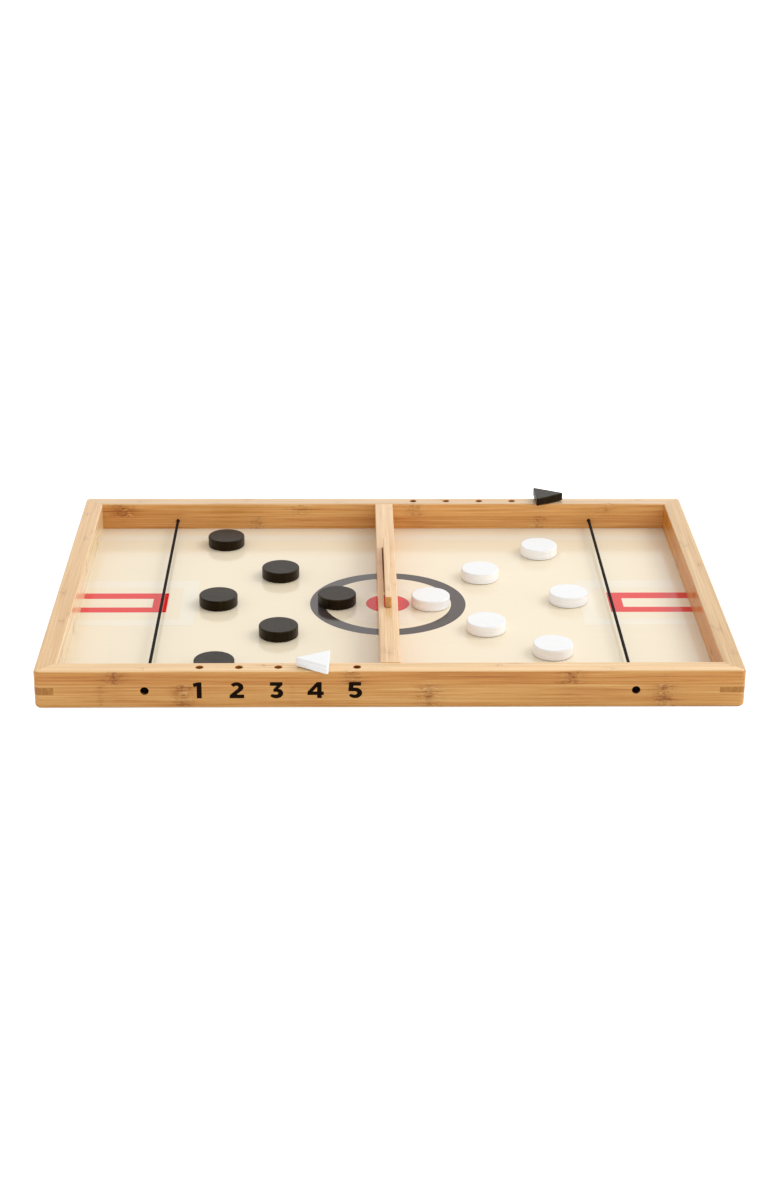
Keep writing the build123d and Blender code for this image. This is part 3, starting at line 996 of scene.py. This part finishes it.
def make_cord(side):
    node = f"{side}_elastic_cord"
    low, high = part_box(node)
    x, z, radius = (low.x + high.x) / 2, (low.z + high.z) / 2, (high.z - low.z) / 2
    path = [(x, y, z) for y in np.linspace(low.y, high.y, CORD_STATIONS)]
    cord = braided_tube(f"{side}_cord_braid", path, radius, around=28, mat=mats["cord"],
                        pitch=2.9 * MM, relief=0.12, closed_ends=True)
    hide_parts(node)
    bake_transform(cord)
    blend_weights(cord)


def knot_path(centre_x, centre_y, centre_z, sign):
    """An overhand knot pulled tight, its axis along the cord; the last point is the first."""
    points = []
    for i in range(KNOT_STATIONS):
        turn = 2 * math.pi * i / KNOT_STATIONS
        reach = 1.28 + 0.62 * math.cos(3 * turn)
        x = reach * math.cos(2 * turn)
        z = reach * math.sin(2 * turn)
        y = 0.95 * math.sin(3 * turn)
        points.append((centre_x + x * MM, centre_y + sign * y * MM, centre_z + z * MM))
    return points + points[:1]


def make_knot(side, end, sign):
    node = f"cord_knot_{end}_{side}"
    low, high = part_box(node)
    outermost = high.y if sign > 0 else low.y
    path = knot_path((low.x + high.x) / 2, outermost - sign * KNOT_INSET * MM,
                     (low.z + high.z) / 2, sign)
    knot = braided_tube(f"knot_{end}_{side}_braid", path, KNOT_STRAND * MM, around=16,
                        mat=mats["knot"], pitch=2.2 * MM, relief=0.10, closed_ends=False)
    weld(knot.data, 1.2e-4)
    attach(knot, "frame")
    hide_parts(node)


for side in ("left", "right"):
    make_cord(side)
for side in ("left", "right"):
    make_knot(side, "front", -1)
    make_knot(side, "back", 1)


# --------------------------------------------------------------- floor and lights
def floor_paper(name):
    """White paper that glows a little to the camera only."""
    mat = Material(name)
    cloud = mat.noise(mat.x / 900.0, mat.y / 900.0, 0.0, detail=2.0)
    mat.set(Base_Color=mat.scaled((0.93, 0.93, 0.93), 0.99 + cloud * 0.02),
            Roughness=0.9, Specular_IOR_Level=0.0)
    glow = mat.node("Emission", (1, 1, 1, 1), mat.camera_ray() * 0.62)
    both = mat.node("AddShader", mat.bsdf.outputs[0], glow.outputs[0])
    mat.put(mat.out.inputs[0], both.outputs[0])
    return mat


def make_floor(half=14.0, z=-0.0003):
    """Square floor just under the frame, in metres."""
    mesh = bpy.data.meshes.new("floor")
    corners = [(-half, -half, z), (half, -half, z), (half, half, z), (-half, half, z)]
    mesh.from_pydata(corners, [], [(0, 1, 2, 3)])
    add_object("floor", mesh, floor_paper("floor_paper"))


def make_world(ambient, back, right, top, front):
    """Soft studio light, brighter by these amounts from each side; white to the camera."""
    world = bpy.data.worlds.new("studio")
    scene.world = world
    world.use_nodes = True
    graph = Graph(world.node_tree)
    out = graph.node("OutputWorld")
    background = graph.node("Background", (1.0, 1.0, 1.0, 1.0))
    graph.put(out.inputs[0], background.outputs[0])
    x, y, z = graph.split_xyz(graph.node("TexCoord").outputs["Generated"])

    def lobe(direction, slope, power):
        lifted = graph.math("MAXIMUM", direction * slope + (1.0 - slope), 0.0)
        return graph.math("POWER", lifted, power)

    light = ambient + lobe(y, slope=0.75, power=1.0) * back
    light = light + lobe(x, slope=0.70, power=1.5) * right
    light = light + graph.math("MAXIMUM", z, 0.0) * top
    light = light + graph.math("MAXIMUM", y * -1.0, 0.0) * front
    camera_white = graph.camera_ray() * 1.0
    light = light * (1.0 - camera_white) + camera_white
    graph.fill(background, Strength=light)


def make_key_light(place, size, power):
    """Round area light aimed at the origin."""
    light = bpy.data.lights.new("key", "AREA")
    light.shape = "DISK"
    light.size = size
    light.energy = power
    light.color = (1, 1, 1)
    obj = bpy.data.objects.new("key", light)
    obj.location = place
    obj.rotation_euler = (-Vector(place)).to_track_quat("-Z", "Y").to_euler()
    scene.collection.objects.link(obj)


def make_camera(place, yaw, pitch, roll, lens):
    """Camera looking along +Y, turned right by yaw, down by pitch and rolled; radians."""
    forward = Vector((math.sin(yaw) * math.cos(pitch), math.cos(yaw) * math.cos(pitch),
                      -math.sin(pitch)))
    level_right = Vector((math.cos(yaw), -math.sin(yaw), 0.0))
    level_up = level_right.cross(forward)
    right = level_right * math.cos(roll) + level_up * math.sin(roll)
    up = -level_right * math.sin(roll) + level_up * math.cos(roll)
    data = bpy.data.cameras.new("camera")
    data.sensor_fit = "AUTO"
    data.sensor_width = 36.0
    data.lens = lens
    data.clip_start = 0.05
    data.clip_end = 60.0
    camera = bpy.data.objects.new("camera", data)
    matrix = Matrix.Identity(4)
    for i in range(3):
        matrix[i][0], matrix[i][1], matrix[i][2] = right[i], up[i], -forward[i]
    matrix.translation = Vector(place)
    camera.matrix_world = matrix
    scene.collection.objects.link(camera)
    scene.camera = camera


make_floor()
make_world(ambient=0.695, back=0.37, right=0.70, top=0.02, front=0.24)
make_key_light(place=(1.75, 0.35, 1.70), size=1.30, power=18.0)
make_camera(place=(-0.031849, -1.697206, 0.743912), yaw=0.02038420404524602,
            pitch=0.40724804631752004, roll=0.00668426967672782, lens=65.296505017)

bpy.context.view_layer.update()
